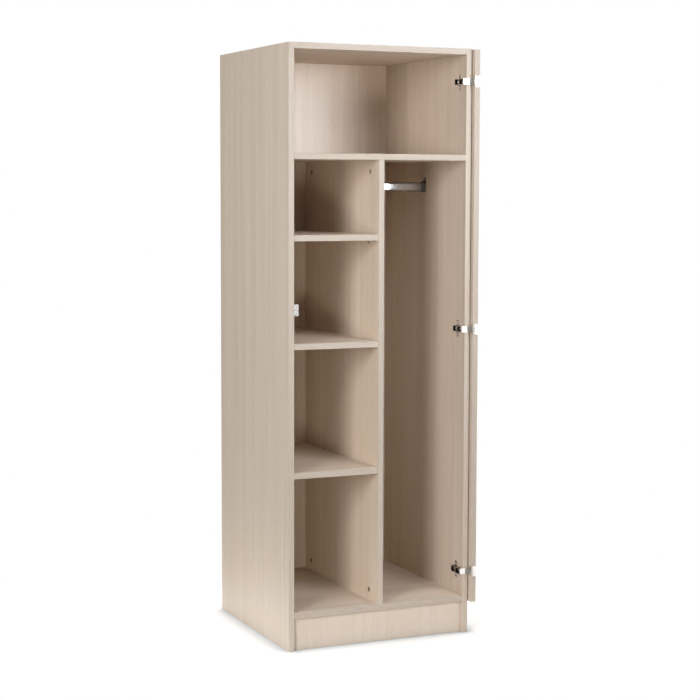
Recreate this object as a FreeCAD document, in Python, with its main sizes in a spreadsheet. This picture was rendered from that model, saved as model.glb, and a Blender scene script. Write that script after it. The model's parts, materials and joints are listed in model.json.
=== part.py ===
import FreeCAD, Part
import math
import os
import re
import Sketcher
from FreeCAD import Rotation, Vector

# Single-door wardrobe of melamine-faced board, millimetres, +Z up, front towards -Y.
# The carcass is drawn from its left front bottom corner. The door and all that is on it are drawn shut,
# from the axis of the hinge pins, and placed folded back by door_angle.

doc = FreeCAD.newDocument("single_door_wardrobe")
sizes = doc.addObject("Spreadsheet::Sheet", "Sizes")

SIZES = [
    # Frame
    ("origin_from_left", 317, "left side's outer face to the origin"),
    ("origin_from_front", 280, "front of the carcass to the origin"),
    # Boards
    ("carcass_width", 600, "over both side panels"),
    ("carcass_depth", 584, "side panel, front to back, with its band"),
    ("carcass_height", 1800, "floor to top"),
    ("board", 18, "thickness of the carcass boards and shelves"),
    ("band", 2, "thickness of the edge bands"),
    ("band_round", 1.2, "radius along an edge band's two outer edges"),
    ("plinth_height", 98, "floor to the bottom panel"),
    ("plinth_setback", 12, "plinth behind the front"),
    ("fixed_shelf_height", 1462, "floor to the fixed shelf's underside"),
    ("shelf_upper_height", 1222, "floor to the loose shelf's underside"),
    ("shelf_middle_height", 902, "floor to the loose shelf's underside"),
    ("shelf_lower_height", 518, "floor to the loose shelf's underside"),
    ("shelf_setback", 2, "loose shelves behind the front"),
    ("shelf_play", 0.5, "round a loose shelf, on each side and behind"),
    ("back_board", 8, "thickness of the back panel"),
    ("back_inset", 4, "back panel's rear face to the rear of the sides"),
    ("groove_depth", 8, "groove that holds the back panel"),
    ("groove_play", 0.3, "round the back panel in its grooves"),
    # Cams, bolts and dowels
    ("cam_setback", 64, "cam from the front and from the rear"),
    ("cam_reach", 34, "cam's centre from its panel's end"),
    ("cam_diameter", 15, "cam"),
    ("cam_depth", 13, "cam, from the board's face"),
    ("cam_drive_diameter", 6, "recess for the driver in the cam"),
    ("cam_drive_depth", 3, "recess for the driver in the cam"),
    ("bolt_diameter", 7, "bar of the cam bolt"),
    ("bolt_play", 0.5, "round the bar in its bore"),
    ("bolt_thread_diameter", 5, "end of the cam bolt in the mating board"),
    ("bolt_thread_length", 11, "end of the cam bolt in the mating board"),
    ("dowel_diameter", 8, "beech dowel"),
    ("dowel_length", 30, "beech dowel"),
    ("dowel_spacing", 32, "dowel from its cam"),
    ("fit_play", 0.1, "round what is seated in a bored hole"),
    # Screws
    ("screw_diameter", 4, "shank"),
    ("screw_length", 12, "shank in the board"),
    ("screw_head_diameter", 7.5, "head"),
    ("screw_head_height", 2.2, "head"),
    # Shelf supports
    ("support_setback", 64, "support from the front and from the rear"),
    ("support_width", 8, "along the shelf's end"),
    ("support_reach", 9, "under the shelf"),
    ("support_drop", 10, "below the shelf"),
    ("support_lip", 2, "thickness at the tip and at the foot"),
    ("support_pin_diameter", 5, "pin in the board"),
    ("support_pin_length", 8, "pin in the board"),
    # Hanging rail
    ("rail_height", 30, "oval tube"),
    ("rail_width", 15, "oval tube"),
    ("rail_wall", 1.2, "oval tube"),
    ("rail_drop", 79, "fixed shelf's underside to the tube's centre"),
    ("rail_setback", 281, "front to the tube's centre"),
    ("rail_play", 0.3, "round the tube and at its ends"),
    ("socket_wall", 1.7, "sleeve round the tube's end"),
    ("socket_length", 14, "sleeve round the tube's end"),
    ("flange", 2.5, "thickness of the socket's screw plate"),
    ("flange_width", 21, "screw plate"),
    ("flange_rise", 30, "screw plate above the tube's centre"),
    ("flange_fall", 18.5, "screw plate below the tube's centre"),
    ("flange_screw_rise", 23.5, "screw above the tube's centre"),
    # Door
    ("door_board", 18, "thickness of the door"),
    ("door_gap", 3, "shut door in front of the carcass"),
    ("door_inset", 1, "shut door inside the carcass's outer faces"),
    ("door_top_reveal", 2.5, "door's top below the carcass's top"),
    ("door_overlap", 0.5, "door's bottom below the bottom panel"),
    ("door_angle", 270, "opening at rest, in degrees"),
    # Hinges
    ("fold_gap", 2.5, "side panel to the folded door"),
    ("pivot_inset", 1, "pin's axis behind the door's outer face"),
    ("hinge_end_offset", 96, "outer hinges from the door's ends"),
    ("pin_diameter", 4, "hinge pin"),
    ("pin_play", 0.05, "round the pin in the arm's barrel"),
    ("barrel_diameter", 8, "hinge barrels"),
    ("barrel_gap", 0.5, "between the arm's barrel and the leaf's"),
    ("arm_height", 18, "arm and its barrel"),
    ("arm_length", 58, "arm behind the front"),
    ("arm_depth", 9, "arm out from its plate"),
    ("arm_strap", 2, "strap round the side panel's edge"),
    ("arm_bend", 1.5, "outer radius of the arm's bend"),
    ("arm_rim", 2, "wall round the arm's two recesses"),
    ("arm_recess", 6, "depth of the arm's two recesses"),
    ("arm_bridge_setback", 27, "bridge between the recesses, from the front"),
    ("arm_bridge", 5, "bridge between the recesses"),
    ("plate", 2, "thickness of the mounting plate"),
    ("plate_length", 44, "mounting plate under the arm"),
    ("wing_setback", 42, "wings' centre line from the front"),
    ("wing_width", 13, "wings of the mounting plate"),
    ("wing_height", 52, "wings, end to end"),
    ("wing_round", 4, "corners of the wings"),
    ("wing_screw_spacing", 32, "screws in the wings"),
    ("leaf_height", 32, "leaf on the door's edge"),
    ("leaf", 3, "thickness of the leaf in the door's edge"),
    ("leaf_lip", 9, "leaf's lip on the door's outer face"),
    ("leaf_lip_thickness", 1.5, "leaf's lip on the door's outer face"),
    ("cup_diameter", 35, "cup in the door's inner face"),
    ("cup_depth", 12, "cup in the door's inner face"),
    ("cup_wall", 2, "cup's rim and floor"),
    ("cup_setback", 22.5, "cup's centre from the door's edge"),
    ("neck_height", 16, "neck from the leaf to the cup"),
    ("cup_flange", 2, "thickness of the cup's flange on the door's inner face"),
    ("cup_flange_width", 11, "cup's flange"),
    ("cup_flange_gap", 1, "cup's flange beside the arm, door shut"),
    ("cup_screw_spacing", 45, "screws in the cup's flange"),
    ("cup_screw_length", 12, "cup screws' shank in the door"),
    ("seat_play", 0.15, "round the leaf and cup in the door"),
    # Lock
    ("lock_above_shelf", 118, "middle loose shelf's underside to the lock"),
    ("lock_backset", 45, "lock from the door's free edge"),
    ("rosette_diameter", 26, "rim on the door's outer face"),
    ("rosette", 1.5, "thickness of the rim"),
    ("housing_diameter", 18, "sleeve through the door"),
    ("housing_projection", 7, "sleeve beyond the door's inner face"),
    ("nut_across_corners", 27, "ring nut inside"),
    ("nut", 4, "thickness of the ring nut"),
    ("plug_diameter", 12, "turning plug"),
    ("plug_play", 0.05, "round the plug in its sleeve"),
    ("key_slot_width", 1.6, "slot for the key"),
    ("key_slot_height", 8, "slot for the key"),
    ("key_slot_depth", 10, "slot for the key"),
    ("tongue_length", 24, "lock cam, axis to tip"),
    ("tongue_width", 13, "lock cam"),
    ("tongue", 2.5, "thickness of the lock cam"),
    ("strike_gap", 1, "lock cam behind the strike plate"),
    ("strike", 2, "thickness of the strike plate"),
    ("strike_height", 34, "strike plate"),
    ("strike_reach", 14, "strike plate, into the bay"),
    ("strike_length", 24, "strike plate, along the side panel"),
    ("strike_screw_spacing", 18, "screws in the strike plate"),
]
NAMES = {name for name, number, meaning in SIZES}

for row, (name, number, meaning) in enumerate(SIZES, start=1):
    sizes.set(f"A{row}", str(number))
    sizes.setAlias(f"A{row}", name)
doc.recompute()

# Places that many pieces share, as formulas of the sizes above.
INNER_RIGHT = "(carcass_width - board)"
PARTITION_LEFT = "((carcass_width - board) / 2)"
PARTITION_RIGHT = "((carcass_width + board) / 2)"
BACK_FRONT = "(carcass_depth - back_inset - back_board)"
BOTTOM_TOP = "(plinth_height + board)"
TOP_UNDER = "(carcass_height - board)"
CLEAR_DEPTH = f"({BACK_FRONT} - groove_play)"
CAM_REAR = "(carcass_depth - cam_setback)"
RAIL_HEIGHT = "(fixed_shelf_height - rail_drop)"
PIVOT_OUT = "(fold_gap + pivot_inset)"
PIVOT_FRONT = "(door_gap + door_board - pivot_inset)"
DOOR_EDGE = f"(-({PIVOT_OUT} + door_inset))"
DOOR_WIDTH = "(carcass_width - 2 * door_inset)"
DOOR_FREE_EDGE = f"({DOOR_EDGE} - {DOOR_WIDTH})"
DOOR_BOTTOM = "(plinth_height - door_overlap)"
DOOR_TOP = "(carcass_height - door_top_reveal)"
DOOR_OUTER = "(-pivot_inset)"
DOOR_INNER = "(door_board - pivot_inset)"
FLANGE_SETBACK = "(board - door_inset + plate + arm_depth + cup_flange_gap + cup_flange_width / 2)"
FLANGE_X = f"({DOOR_EDGE} - {FLANGE_SETBACK})"
HINGE_HEIGHTS = {
    "upper": f"({DOOR_TOP} - hinge_end_offset)",
    "middle": f"(({DOOR_TOP} + {DOOR_BOTTOM}) / 2)",
    "lower": f"({DOOR_BOTTOM} + hinge_end_offset)",
}
SHELF_HEIGHTS = {
    "upper": "shelf_upper_height",
    "middle": "shelf_middle_height",
    "lower": "shelf_lower_height",
}
LOCK_X = f"({DOOR_FREE_EDGE} + lock_backset)"
LOCK_HEIGHT = "(shelf_middle_height + lock_above_shelf)"
TONGUE_FRONT = f"({DOOR_INNER} + housing_projection + fit_play)"

TURNS = {
    "+x": Rotation(Vector(0, 1, 0), 90),
    "-x": Rotation(Vector(0, 1, 0), -90),
    "+y": Rotation(Vector(1, 0, 0), -90),
    "-y": Rotation(Vector(1, 0, 0), 90),
    "+z": Rotation(),
    "-z": Rotation(Vector(1, 0, 0), 180),
}

nodes = []
cutters = {}


def bind(item, path, formula):
    """Tie a property to a formula of the sizes."""
    words = re.compile("[a-z_]+")
    item.setExpression(path, words.sub(lambda w: f"Sizes.{w[0]}" if w[0] in NAMES else w[0], formula))


def locate(item, point):
    """Tie an item's place to three formulas."""
    for axis, formula in zip("xyz", point):
        bind(item, f"Placement.Base.{axis}", formula)


def opposite(direction):
    """The direction the other way."""
    return direction.translate(str.maketrans("+-", "-+"))


def step(point, direction, distance):
    """A point moved along a direction."""
    moved = list(point)
    axis = "xyz".index(direction[1])
    moved[axis] = f"{moved[axis]} {direction[0]} ({distance})"
    return moved


def block(name, corner, size, maker=None, kind="Part::Box"):
    """A block from its lowest corner."""
    item = maker.newObject(kind, name) if maker else doc.addObject(kind, name)
    for side, formula in zip(("Length", "Width", "Height"), size):
        bind(item, side, formula)
    locate(item, corner)
    return item


def rod(name, start, direction, diameter, length, maker=None, kind="Part::Cylinder"):
    """A round bar from the middle of one end."""
    item = maker.newObject(kind, name) if maker else doc.addObject(kind, name)
    bind(item, "Radius", f"({diameter}) / 2")
    bind(item, "Height", length)
    item.Placement = FreeCAD.Placement(Vector(), TURNS[direction])
    locate(item, start)
    return item


def fuse(name, pieces):
    """Several overlapping solids as one."""
    item = doc.addObject("Part::MultiFuse", name)
    item.Shapes = pieces
    item.Refine = True
    return item


def cut(name, blank, tools):
    """A solid with the tools taken out of it."""
    item = doc.addObject("Part::Cut", name)
    item.Base = blank
    item.Tool = tools[0] if len(tools) == 1 else fuse(f"{name}_tools", tools)
    return item


def group(name, pieces):
    """Like solids that share a node."""
    item = doc.addObject("Part::Compound", name)
    item.Links = pieces
    return item


def on_carcass(item, label):
    """Make an item a node of the carcass."""
    item.Label = label
    locate(item, ("-origin_from_left", "-origin_from_front", "0"))
    nodes.append(item)


def on_door(item, label):
    """Make an item a node of the door, turned open about the hinge pins."""
    item.Label = label
    item.Placement = FreeCAD.Placement(Vector(), Rotation(Vector(0, 0, 1), 1))
    axis_x = f"carcass_width + {PIVOT_OUT} - origin_from_left"
    locate(item, (axis_x, f"-{PIVOT_FRONT} - origin_from_front", "0"))
    bind(item, "Placement.Rotation.Angle", "door_angle")
    nodes.append(item)


def body(name):
    """An empty solid body."""
    return doc.addObject("PartDesign::Body", name)


def profile(maker, plane, corners, height="0"):
    """A closed outline on one of the body's own planes, each corner tied to two formulas."""
    sketch = maker.newObject("Sketcher::SketchObject", "Profile")
    support = [item for item in maker.Origin.OriginFeatures if item.Role == plane]
    sketch.AttachmentSupport = [(support[0], "")]
    sketch.MapMode = "FlatFace"
    bind(sketch, "AttachmentOffset.Base.z", height)
    count = len(corners)
    turns = [2 * math.pi * number / count for number in range(count)]
    ring = [Vector(math.cos(turn), math.sin(turn)) for turn in turns]
    for number, start in enumerate(ring):
        sketch.addGeometry(Part.LineSegment(start, ring[(number + 1) % count]), False)
    for number in range(count):
        sketch.addConstraint(Sketcher.Constraint("Coincident", number, 2, (number + 1) % count, 1))
    for number, corner in enumerate(corners):
        for kind, formula in zip(("DistanceX", "DistanceY"), corner):
            tie = sketch.addConstraint(Sketcher.Constraint(kind, -1, 1, number, 1, 1.0))
            bind(sketch, f"Constraints[{tie}]", formula)
    return sketch


def pad(maker, sketch, length, midplane=False):
    """Raise an outline into a solid."""
    feature = maker.newObject("PartDesign::Pad", "Pad")
    feature.Profile = sketch
    feature.Midplane = midplane
    bind(feature, "Length", length)
    return feature


def round_edges(maker, base, radius, chosen):
    """Round the edges of a feature that the test picks."""
    doc.recompute()
    names = [f"Edge{number}" for number, edge in enumerate(base.Shape.Edges, start=1) if chosen(edge)]
    feature = maker.newObject("PartDesign::Fillet", "Round")
    feature.Base = (base, names)
    bind(feature, "Radius", radius)
    return feature


def screw(mate, point, into, length="screw_length"):
    """A screw whose head lies on a face at the point, with its pilot hole bored in the mating board."""
    head = rod("head", step(point, opposite(into), "screw_head_height"), into, "screw_head_diameter",
               "screw_head_height")
    shank = rod("shank", point, into, "screw_diameter", length)
    pilot_diameter = "screw_diameter + 2 * fit_play"
    cutters[mate].append(rod("pilot", point, into, pilot_diameter, f"{length} + fit_play"))
    return fuse("screw", [head, shank])


BOARDS = ("side_panel_left", "side_panel_right", "top_panel", "bottom_panel", "fixed_shelf", "partition",
          "plinth_board", "door_panel")
for board_name in BOARDS:
    cutters[board_name] = []

# Knock-down joints: a cam in the panel draws a bolt in its mate, with a dowel beside it.
cams = []
bolts = []
dowels = []


def cam_joint(panel, mate, point, inward, cam_into):
    """One cam and bolt at a point in the middle of a panel's end."""
    centre = step(point, inward, "cam_reach")
    mouth = step(centre, opposite(cam_into), "board / 2")
    disc = rod("cam", mouth, cam_into, "cam_diameter", "cam_depth")
    drive = rod("drive", mouth, cam_into, "cam_drive_diameter", "cam_drive_depth")
    cams.append(cut("driven_cam", disc, [drive]))
    bar = rod("bar", point, inward, "bolt_diameter", "cam_reach - cam_diameter / 2 - fit_play")
    thread = rod("thread", point, opposite(inward), "bolt_thread_diameter", "bolt_thread_length")
    bolts.append(fuse("bolt", [bar, thread]))
    bore = rod("bore", point, inward, "bolt_diameter + 2 * bolt_play", "cam_reach")
    pocket = rod("pocket", mouth, cam_into, "cam_diameter + 2 * fit_play", "cam_depth + fit_play")
    cutters[panel] += [bore, pocket]
    thread_hole = "bolt_thread_diameter + 2 * fit_play"
    thread_depth = "bolt_thread_length + fit_play"
    cutters[mate].append(rod("hole", point, opposite(inward), thread_hole, thread_depth))


def dowel_joint(panel, mate, point, inward):
    """One dowel, half in a panel's end and half in its mate."""
    outward = opposite(inward)
    start = step(point, outward, "dowel_length / 2")
    dowels.append(rod("dowel", start, inward, "dowel_diameter", "dowel_length"))
    hole_start = step(start, outward, "fit_play")
    hole = rod("dowel_hole", hole_start, inward, "dowel_diameter + 2 * fit_play",
               "dowel_length + 2 * fit_play")
    cutters[panel].append(hole)
    cutters[mate].append(hole)


CROSS_PANELS = {
    "top_panel": f"({TOP_UNDER} + board / 2)",
    "fixed_shelf": "(fixed_shelf_height + board / 2)",
    "bottom_panel": "(plinth_height + board / 2)",
}
SIDE_PLANES = {"side_panel_left": ("board", "+x"), "side_panel_right": (INNER_RIGHT, "-x")}
CAM_ROWS = (("cam_setback", "cam_setback + dowel_spacing"), (CAM_REAR, f"{CAM_REAR} - dowel_spacing"))
PARTITION_ENDS = {"fixed_shelf": ("fixed_shelf_height", "-z"), "bottom_panel": (BOTTOM_TOP, "+z")}

for side, (plane, inward) in SIDE_PLANES.items():
    for cam_y, dowel_y in CAM_ROWS:
        for panel, middle in CROSS_PANELS.items():
            cam_joint(panel, side, (plane, cam_y, middle), inward, "+z")
            dowel_joint(panel, side, (plane, dowel_y, middle), inward)
    plinth_middle = (plane, "plinth_setback + board / 2", "plinth_height / 2 - dowel_spacing / 2")
    cam_joint("plinth_board", side, plinth_middle, inward, "-y")
    dowel_joint("plinth_board", side, step(plinth_middle, "+z", "dowel_spacing"), inward)

for mate, (plane, inward) in PARTITION_ENDS.items():
    for cam_y, dowel_y in CAM_ROWS:
        cam_joint("partition", mate, ("carcass_width / 2", cam_y, plane), inward, "+x")
        dowel_joint("partition", mate, ("carcass_width / 2", dowel_y, plane), inward)

on_carcass(group("cam_fittings", cams), "cam_fittings")
on_carcass(group("cam_bolts", bolts), "cam_bolts")
on_carcass(group("dowels", dowels), "dowels")


# Shelf supports: a bracket with a pin in the board, four under each loose shelf.
def shelf_support(mate, face, inward, y, shelf_height):
    """A bracket under a shelf's end, drawn from the board's face at the shelf's underside."""
    bracket = body("bracket")
    sign = inward[0]
    corners = [
        ("0", "0"),
        (f"{sign}support_reach", "0"),
        (f"{sign}support_reach", "-support_lip"),
        (f"{sign}support_lip", "-support_drop"),
        ("0", "-support_drop"),
    ]
    pad(bracket, profile(bracket, "XZ_Plane", corners), "support_width", midplane=True)
    pin_height = "-support_drop / 2"
    rod("Pin", ("0", "0", pin_height), opposite(inward), "support_pin_diameter", "support_pin_length",
        bracket, "PartDesign::AdditiveCylinder")
    locate(bracket, (face, y, shelf_height))
    hole_point = (face, y, f"{shelf_height} {pin_height}")
    hole_diameter = "support_pin_diameter + 2 * fit_play"
    hole_length = "support_pin_length + fit_play"
    cutters[mate].append(rod("pin_hole", hole_point, opposite(inward), hole_diameter, hole_length))
    return bracket


SUPPORT_ROWS = ("support_setback", f"({BACK_FRONT} - support_setback)")
for level, shelf_height in SHELF_HEIGHTS.items():
    supports = []
    for support_y in SUPPORT_ROWS:
        supports.append(shelf_support("side_panel_left", "board", "+x", support_y, shelf_height))
        supports.append(shelf_support("partition", PARTITION_LEFT, "-x", support_y, shelf_height))
    on_carcass(group(f"supports_{level}", supports), f"shelf_supports_{level}")


# Hanging rail: an oval tube held at each end in a screwed socket.
def oval(name, start, direction, length, width, rise, fall):
    """A bar of oval section along X, its ends round, from the tube's centre line."""
    top = step(start, "+z", f"{rise} - ({width}) / 2")
    low = step(start, "-z", f"{fall} - ({width}) / 2")
    shift = f" - ({length})" if direction == "-x" else ""
    corner = (f"{start[0]}{shift}", f"{start[1]} - ({width}) / 2", low[2])
    flat = block(f"{name}_flat", corner, (length, width, f"{rise} + {fall} - ({width})"))
    ends = [rod(f"{name}_end", point, direction, width, length) for point in (top, low)]
    return fuse(name, [flat] + ends)


RAIL_START = f"({PARTITION_RIGHT} + flange + rail_play)"
RAIL_LENGTH = f"({INNER_RIGHT} - flange - rail_play - {RAIL_START})"
rail_line = (RAIL_START, "rail_setback", RAIL_HEIGHT)
half_height = "rail_height / 2"
half_bore = "(rail_height / 2 - rail_wall)"
tube = oval("tube", rail_line, "+x", RAIL_LENGTH, "rail_width", half_height, half_height)
bore = oval("tube_bore", rail_line, "+x", RAIL_LENGTH, "rail_width - 2 * rail_wall", half_bore, half_bore)
on_carcass(cut("rail", tube, [bore]), "hanging_rail")

rail_screws = []
RAIL_ENDS = {
    "left": ("partition", PARTITION_RIGHT, "+x"),
    "right": ("side_panel_right", INNER_RIGHT, "-x"),
}
for end, (mate, face, inward) in RAIL_ENDS.items():
    point = (face, "rail_setback", RAIL_HEIGHT)
    mouth_half = "(rail_height / 2 + rail_play)"
    sleeve_half = f"({mouth_half} + socket_wall)"
    mouth_width = "(rail_width + 2 * rail_play)"
    sleeve_width = f"({mouth_width} + 2 * socket_wall)"
    plate_face = step(point, inward, "flange")
    flange = oval("flange", point, inward, "flange", "flange_width", "flange_rise", "flange_fall")
    sleeve = oval("sleeve", point, inward, "flange + socket_length", sleeve_width, sleeve_half, sleeve_half)
    mouth = oval("mouth", plate_face, inward, "socket_length", mouth_width, mouth_half, mouth_half)
    screw_hole = rod("screw_hole", step(point, "+z", "flange_screw_rise"), inward,
                     "screw_diameter + 2 * fit_play", "flange")
    socket = cut(f"socket_{end}", fuse("socket", [flange, sleeve]), [mouth, screw_hole])
    on_carcass(socket, f"rail_socket_{end}")
    screw_point = step(plate_face, "+z", "flange_screw_rise")
    rail_screws.append(screw(mate, screw_point, opposite(inward), "screw_length + flange"))
on_carcass(group("rail_screws", rail_screws), "rail_screws")

# Corner hinges: a plate and arm on the side panel, a leaf with a cup on the door, a pin through both.
plate_screws = []
arm_screws = []
cup_screws = []


def hinge_corner(height):
    """The side panel's inner front corner at a hinge."""
    return (INNER_RIGHT, "0", height)


def place_hinge(item, label, height):
    """Make a body drawn from the panel's inner front corner a node of the carcass."""
    item.Label = label
    x, y, z = hinge_corner(height)
    locate(item, (f"{x} - origin_from_left", f"{y} - origin_from_front", z))
    nodes.append(item)


def hinge_plate(level, height):
    """The cross-shaped mounting plate, with two wings for its screws."""
    plate = body(f"plate_{level}")
    front = "(arm_length - plate_length)"
    near = "(wing_setback - wing_width / 2)"
    far = "(wing_setback + wing_width / 2)"
    arm = "arm_height / 2"
    wing = "wing_height / 2"
    corners = [
        (front, f"-{arm}"), (near, f"-{arm}"), (near, f"-{wing}"), (far, f"-{wing}"),
        (far, f"-{arm}"), ("arm_length", f"-{arm}"), ("arm_length", arm), (far, arm),
        (far, wing), (near, wing), (near, arm), (front, arm),
    ]
    raised = pad(plate, profile(plate, "YZ_Plane", corners, "-plate"), "plate")
    wing_end = sizes.get("wing_height") / 2

    def at_wing_end(edge):
        return edge.Length < wing_end / 2 and abs(abs(edge.CenterOfMass.z) - wing_end) < 1e-6

    round_edges(plate, raised, "wing_round", lambda edge: at_wing_end(edge) and edge.CenterOfMass.x < 0
                and abs(edge.tangentAt(edge.FirstParameter).x) > 0.5)
    for sign in "+-":
        offset = f"{sign}wing_screw_spacing / 2"
        rod("ScrewHole", ("-plate", "wing_setback", offset), "+x", "screw_diameter + 2 * fit_play", "plate",
            plate, "PartDesign::SubtractiveCylinder")
        point = step(hinge_corner(height), "-x", "plate")
        point = step(step(point, "+y", "wing_setback"), sign + "z", "wing_screw_spacing / 2")
        plate_screws.append(screw("side_panel_right", point, "+x", "screw_length + plate"))
    place_hinge(plate, f"hinge_plate_{level}", height)


def hinge_arm(level, height):
    """The arm, bent round the panel's front edge to the barrel that carries the pin."""
    arm = body(f"arm_{level}")
    axis_x = f"(board + {PIVOT_OUT})"
    axis_y = f"(-{PIVOT_FRONT})"
    strap_left = f"({axis_x} - barrel_diameter / 2)"
    strap_right = f"({strap_left} + arm_strap)"
    inner = "(-plate - arm_depth)"
    corners = [
        (inner, "arm_length"), (inner, "-arm_strap"), (strap_left, "-arm_strap"), (strap_left, axis_y),
        (strap_right, axis_y), (strap_right, "0"), ("-plate", "0"), ("-plate", "arm_length"),
    ]
    strip = pad(arm, profile(arm, "XY_Plane", corners), "arm_height", midplane=True)
    bend_x = -sizes.get("plate") - sizes.get("arm_depth")

    def upright_at_bend(edge):
        upright = abs(edge.tangentAt(edge.FirstParameter).z) > 0.5
        return upright and abs(edge.CenterOfMass.x - bend_x) < 1e-6

    round_edges(arm, strip, "arm_bend", upright_at_bend)
    rod("Barrel", (axis_x, axis_y, "-arm_height / 2"), "+z", "barrel_diameter", "arm_height",
        arm, "PartDesign::AdditiveCylinder")
    rod("PinBore", (axis_x, axis_y, "-arm_height / 2"), "+z", "pin_diameter + 2 * pin_play", "arm_height",
        arm, "PartDesign::SubtractiveCylinder")
    recess_height = "arm_height - 2 * arm_rim"
    front_length = "arm_bridge_setback - arm_rim"
    rear_start = "arm_bridge_setback + arm_bridge"
    recesses = (("arm_rim", front_length), (rear_start, f"arm_length - arm_rim - ({rear_start})"))
    for start, length in recesses:
        block("Recess", (inner, start, "-arm_height / 2 + arm_rim"), ("arm_recess", length, recess_height),
              arm, "PartDesign::SubtractiveBox")
        floor = step(hinge_corner(height), "-x", "plate + arm_depth - arm_recess")
        middle = step(floor, "+y", f"{start} + ({length}) / 2")
        arm_screws.append(rod("arm_screw", middle, "-x", "screw_head_diameter", "screw_head_height"))
    place_hinge(arm, f"hinge_arm_{level}", height)


def hinge_leaf(level, height):
    """The leaf in the door's edge, with its two barrels, its lip on the outer face and its flanged cup."""
    leaf = body(f"leaf_{level}")
    rear = f"({DOOR_EDGE} - leaf)"
    lip_tip = f"({DOOR_EDGE} - leaf_lip)"
    lip_back = f"({DOOR_OUTER} + leaf_lip_thickness)"
    corners = [
        (DOOR_EDGE, DOOR_OUTER), (DOOR_EDGE, DOOR_INNER), (rear, DOOR_INNER),
        (rear, lip_back), (lip_tip, lip_back), (lip_tip, DOOR_OUTER),
    ]
    sketch = profile(leaf, "XY_Plane", corners, height)
    pad(leaf, sketch, "leaf_height", midplane=True)
    knuckle = "(leaf_height / 2 - arm_height / 2 - barrel_gap)"
    for low in (f"{height} - leaf_height / 2", f"{height} + leaf_height / 2 - {knuckle}"):
        block("Web", (DOOR_EDGE, DOOR_OUTER, low),
              (f"-{DOOR_EDGE}", "pivot_inset + barrel_diameter / 2", knuckle),
              leaf, "PartDesign::AdditiveBox")
        rod("Barrel", ("0", "0", low), "+z", "barrel_diameter", knuckle, leaf, "PartDesign::AdditiveCylinder")
        rod("PinBore", ("0", "0", low), "+z", "pin_diameter + 2 * pin_play", knuckle,
            leaf, "PartDesign::SubtractiveCylinder")
    cup_x = f"({DOOR_EDGE} - cup_setback)"
    cup_back = f"({DOOR_INNER} - cup_depth)"
    block("Neck", (cup_x, cup_back, f"{height} - neck_height / 2"),
          ("cup_setback - leaf", "cup_depth", "neck_height"), leaf, "PartDesign::AdditiveBox")
    rod("Cup", (cup_x, cup_back, height), "+y", "cup_diameter", "cup_depth",
        leaf, "PartDesign::AdditiveCylinder")
    block("Flange", (f"{FLANGE_X} - cup_flange_width / 2", DOOR_INNER, f"{height} - cup_screw_spacing / 2"),
          ("cup_flange_width", "cup_flange", "cup_screw_spacing"), leaf, "PartDesign::AdditiveBox")
    for sign in "+-":
        seat = (FLANGE_X, DOOR_INNER, f"{height} {sign} cup_screw_spacing / 2")
        rod("FlangeEnd", seat, "+y", "cup_flange_width", "cup_flange", leaf, "PartDesign::AdditiveCylinder")
        rod("ScrewHole", seat, "+y", "screw_diameter + 2 * fit_play", "cup_flange",
            leaf, "PartDesign::SubtractiveCylinder")
        point = step(seat, "+y", "cup_flange")
        cup_screws.append(screw("door_panel", point, "-y", "cup_screw_length + cup_flange"))
    rod("CupHollow", (cup_x, f"{cup_back} + cup_wall", height), "+y", "cup_diameter - 2 * cup_wall",
        "cup_depth - cup_wall + cup_flange", leaf, "PartDesign::SubtractiveCylinder")
    on_door(leaf, f"hinge_leaf_{level}")

    seat = "leaf_height / 2 + seat_play"
    seat_height = "leaf_height + 2 * seat_play"
    low = f"{height} - ({seat})"
    edge_seat = block("edge_seat", (f"{rear} - seat_play", DOOR_OUTER, low),
                      ("leaf + seat_play", "door_board", seat_height))
    lip_seat = block("lip_seat", (f"{lip_tip} - seat_play", DOOR_OUTER, low),
                     ("leaf_lip + seat_play", "leaf_lip_thickness + seat_play", seat_height))
    neck_seat = block("neck_seat",
                      (cup_x, f"{cup_back} - seat_play", f"{height} - neck_height / 2 - seat_play"),
                      ("cup_setback", "cup_depth + seat_play", "neck_height + 2 * seat_play"))
    cup_seat = rod("cup_seat", (cup_x, f"{cup_back} - seat_play", height), "+y",
                   "cup_diameter + 2 * seat_play", "cup_depth + seat_play")
    cutters["door_panel"] += [edge_seat, lip_seat, neck_seat, cup_seat]
    edge_seats.append(edge_seat)


def hinge_pin(level, height):
    """The pin, from end to end of the leaf's barrels."""
    pin = body(f"pin_{level}")
    rod("Pin", ("0", "0", f"{height} - leaf_height / 2"), "+z", "pin_diameter", "leaf_height",
        pin, "PartDesign::AdditiveCylinder")
    on_door(pin, f"hinge_pin_{level}")


edge_seats = []
for level, height in HINGE_HEIGHTS.items():
    hinge_plate(level, height)
    hinge_arm(level, height)
    hinge_leaf(level, height)
    hinge_pin(level, height)
on_carcass(group("plate_screws", plate_screws), "hinge_plate_screws")
on_carcass(group("arm_screws", arm_screws), "hinge_arm_screws")
on_door(group("cup_screws", cup_screws), "hinge_cup_screws")

# Lock: a plug that turns in a housing through the door, with a cam that swings behind a strike plate.
lock_line = (LOCK_X, DOOR_OUTER, LOCK_HEIGHT)
rim_face = step(lock_line, "-y", "rosette")
plug_length = "rosette + door_board + housing_projection"
rim = rod("rim", rim_face, "+y", "rosette_diameter", "rosette")
sleeve = rod("sleeve", rim_face, "+y", "housing_diameter", plug_length)
plug_bore = rod("plug_bore", rim_face, "+y", "plug_diameter + 2 * plug_play", plug_length)
on_door(cut("housing", fuse("housing_blank", [rim, sleeve]), [plug_bore]), "lock_housing")
housing_hole = rod("housing_hole", lock_line, "+y", "housing_diameter + 2 * fit_play", "door_board")
cutters["door_panel"].append(housing_hole)

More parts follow.
